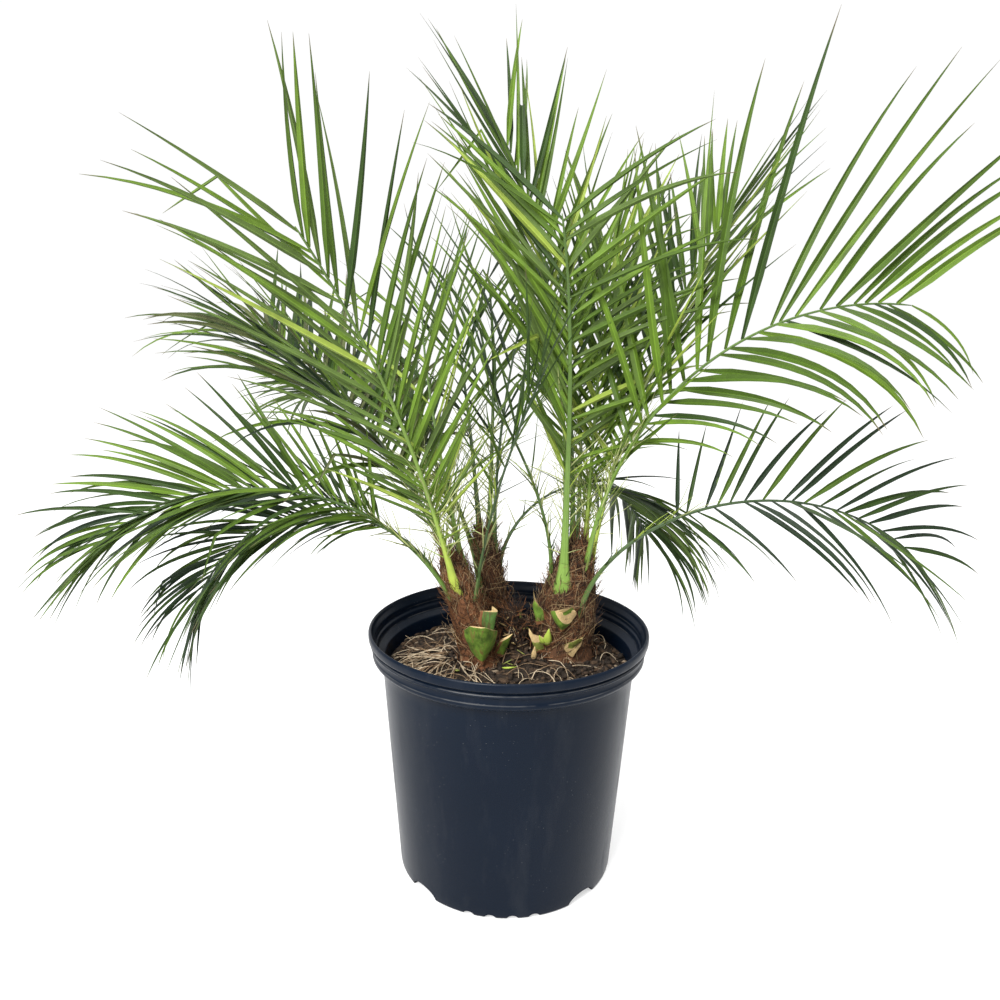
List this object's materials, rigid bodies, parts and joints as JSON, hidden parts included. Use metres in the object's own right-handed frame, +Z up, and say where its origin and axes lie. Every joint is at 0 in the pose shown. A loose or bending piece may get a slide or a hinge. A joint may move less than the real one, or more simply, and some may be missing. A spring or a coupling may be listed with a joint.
{
  "type": "potted pygmy date palm",
  "caption": "Small feather palm clump with short fibrous stems and arching green fronds, planted in a round black plastic nursery pot.",
  "frame": {"origin": "centre of the pot's flat underside, on the pot's axis", "axes": "+Z up along the pot's axis, +X to the right as seen from the front, -Y towards the front"},
  "size_m": [0.9414, 0.7015, 0.841],
  "materials": {
    "pot_plastic": "satin blue-black moulded plastic",
    "potting_mix": "dark crumbs of bark and peat with pale dry roots",
    "stem_fibre": "matted red-brown leaf fibre",
    "cut_base_green": "smooth green old leaf base, cut off",
    "cut_base_tan": "dry tan old leaf base, cut off",
    "frond": "semi-matt green leaflets and ribs"
  },
  "bodies": {
    "root": {"cut_base_dark": "cut_base_green", "cut_base_front": "cut_base_tan", "cut_base_large": "cut_base_green", "cut_base_low_left": "cut_base_green", "cut_base_low_right": "cut_base_tan", "cut_base_pointed": "cut_base_tan", "cut_base_rear": "cut_base_tan", "cut_base_small": "cut_base_green", "frond_behind_right_base": "frond", "frond_behind_right_tip": "frond", "frond_left_drooping_base": "frond", "frond_left_drooping_tip": "frond", "frond_left_front": "frond", "frond_left_inner": "frond", "frond_left_low_base": "frond", "frond_left_low_tip": "frond", "frond_left_rear": "frond", "frond_middle_front": "frond", "frond_middle_inner": "frond", "frond_rear_left_low_base": "frond", "frond_rear_left_low_tip": "frond", "frond_rear_left_upright": "frond", "frond_rear_right_low_base": "frond", "frond_rear_right_low_tip": "frond", "frond_rear_upright": "frond", "frond_right_front": "frond", "frond_right_inner": "frond", "frond_right_low_base": "frond", "frond_right_low_tip": "frond", "frond_right_outer": "frond", "frond_right_rear": "frond", "frond_right_tall": "frond", "frond_right_upright": "frond", "frond_right_wide_base": "frond", "frond_right_wide_tip": "frond", "left_stem": "stem_fibre", "nursery_pot": "pot_plastic", "potting_mix": "potting_mix", "rear_stem": "stem_fibre", "right_stem": "stem_fibre"}
  },
  "joints": []
}
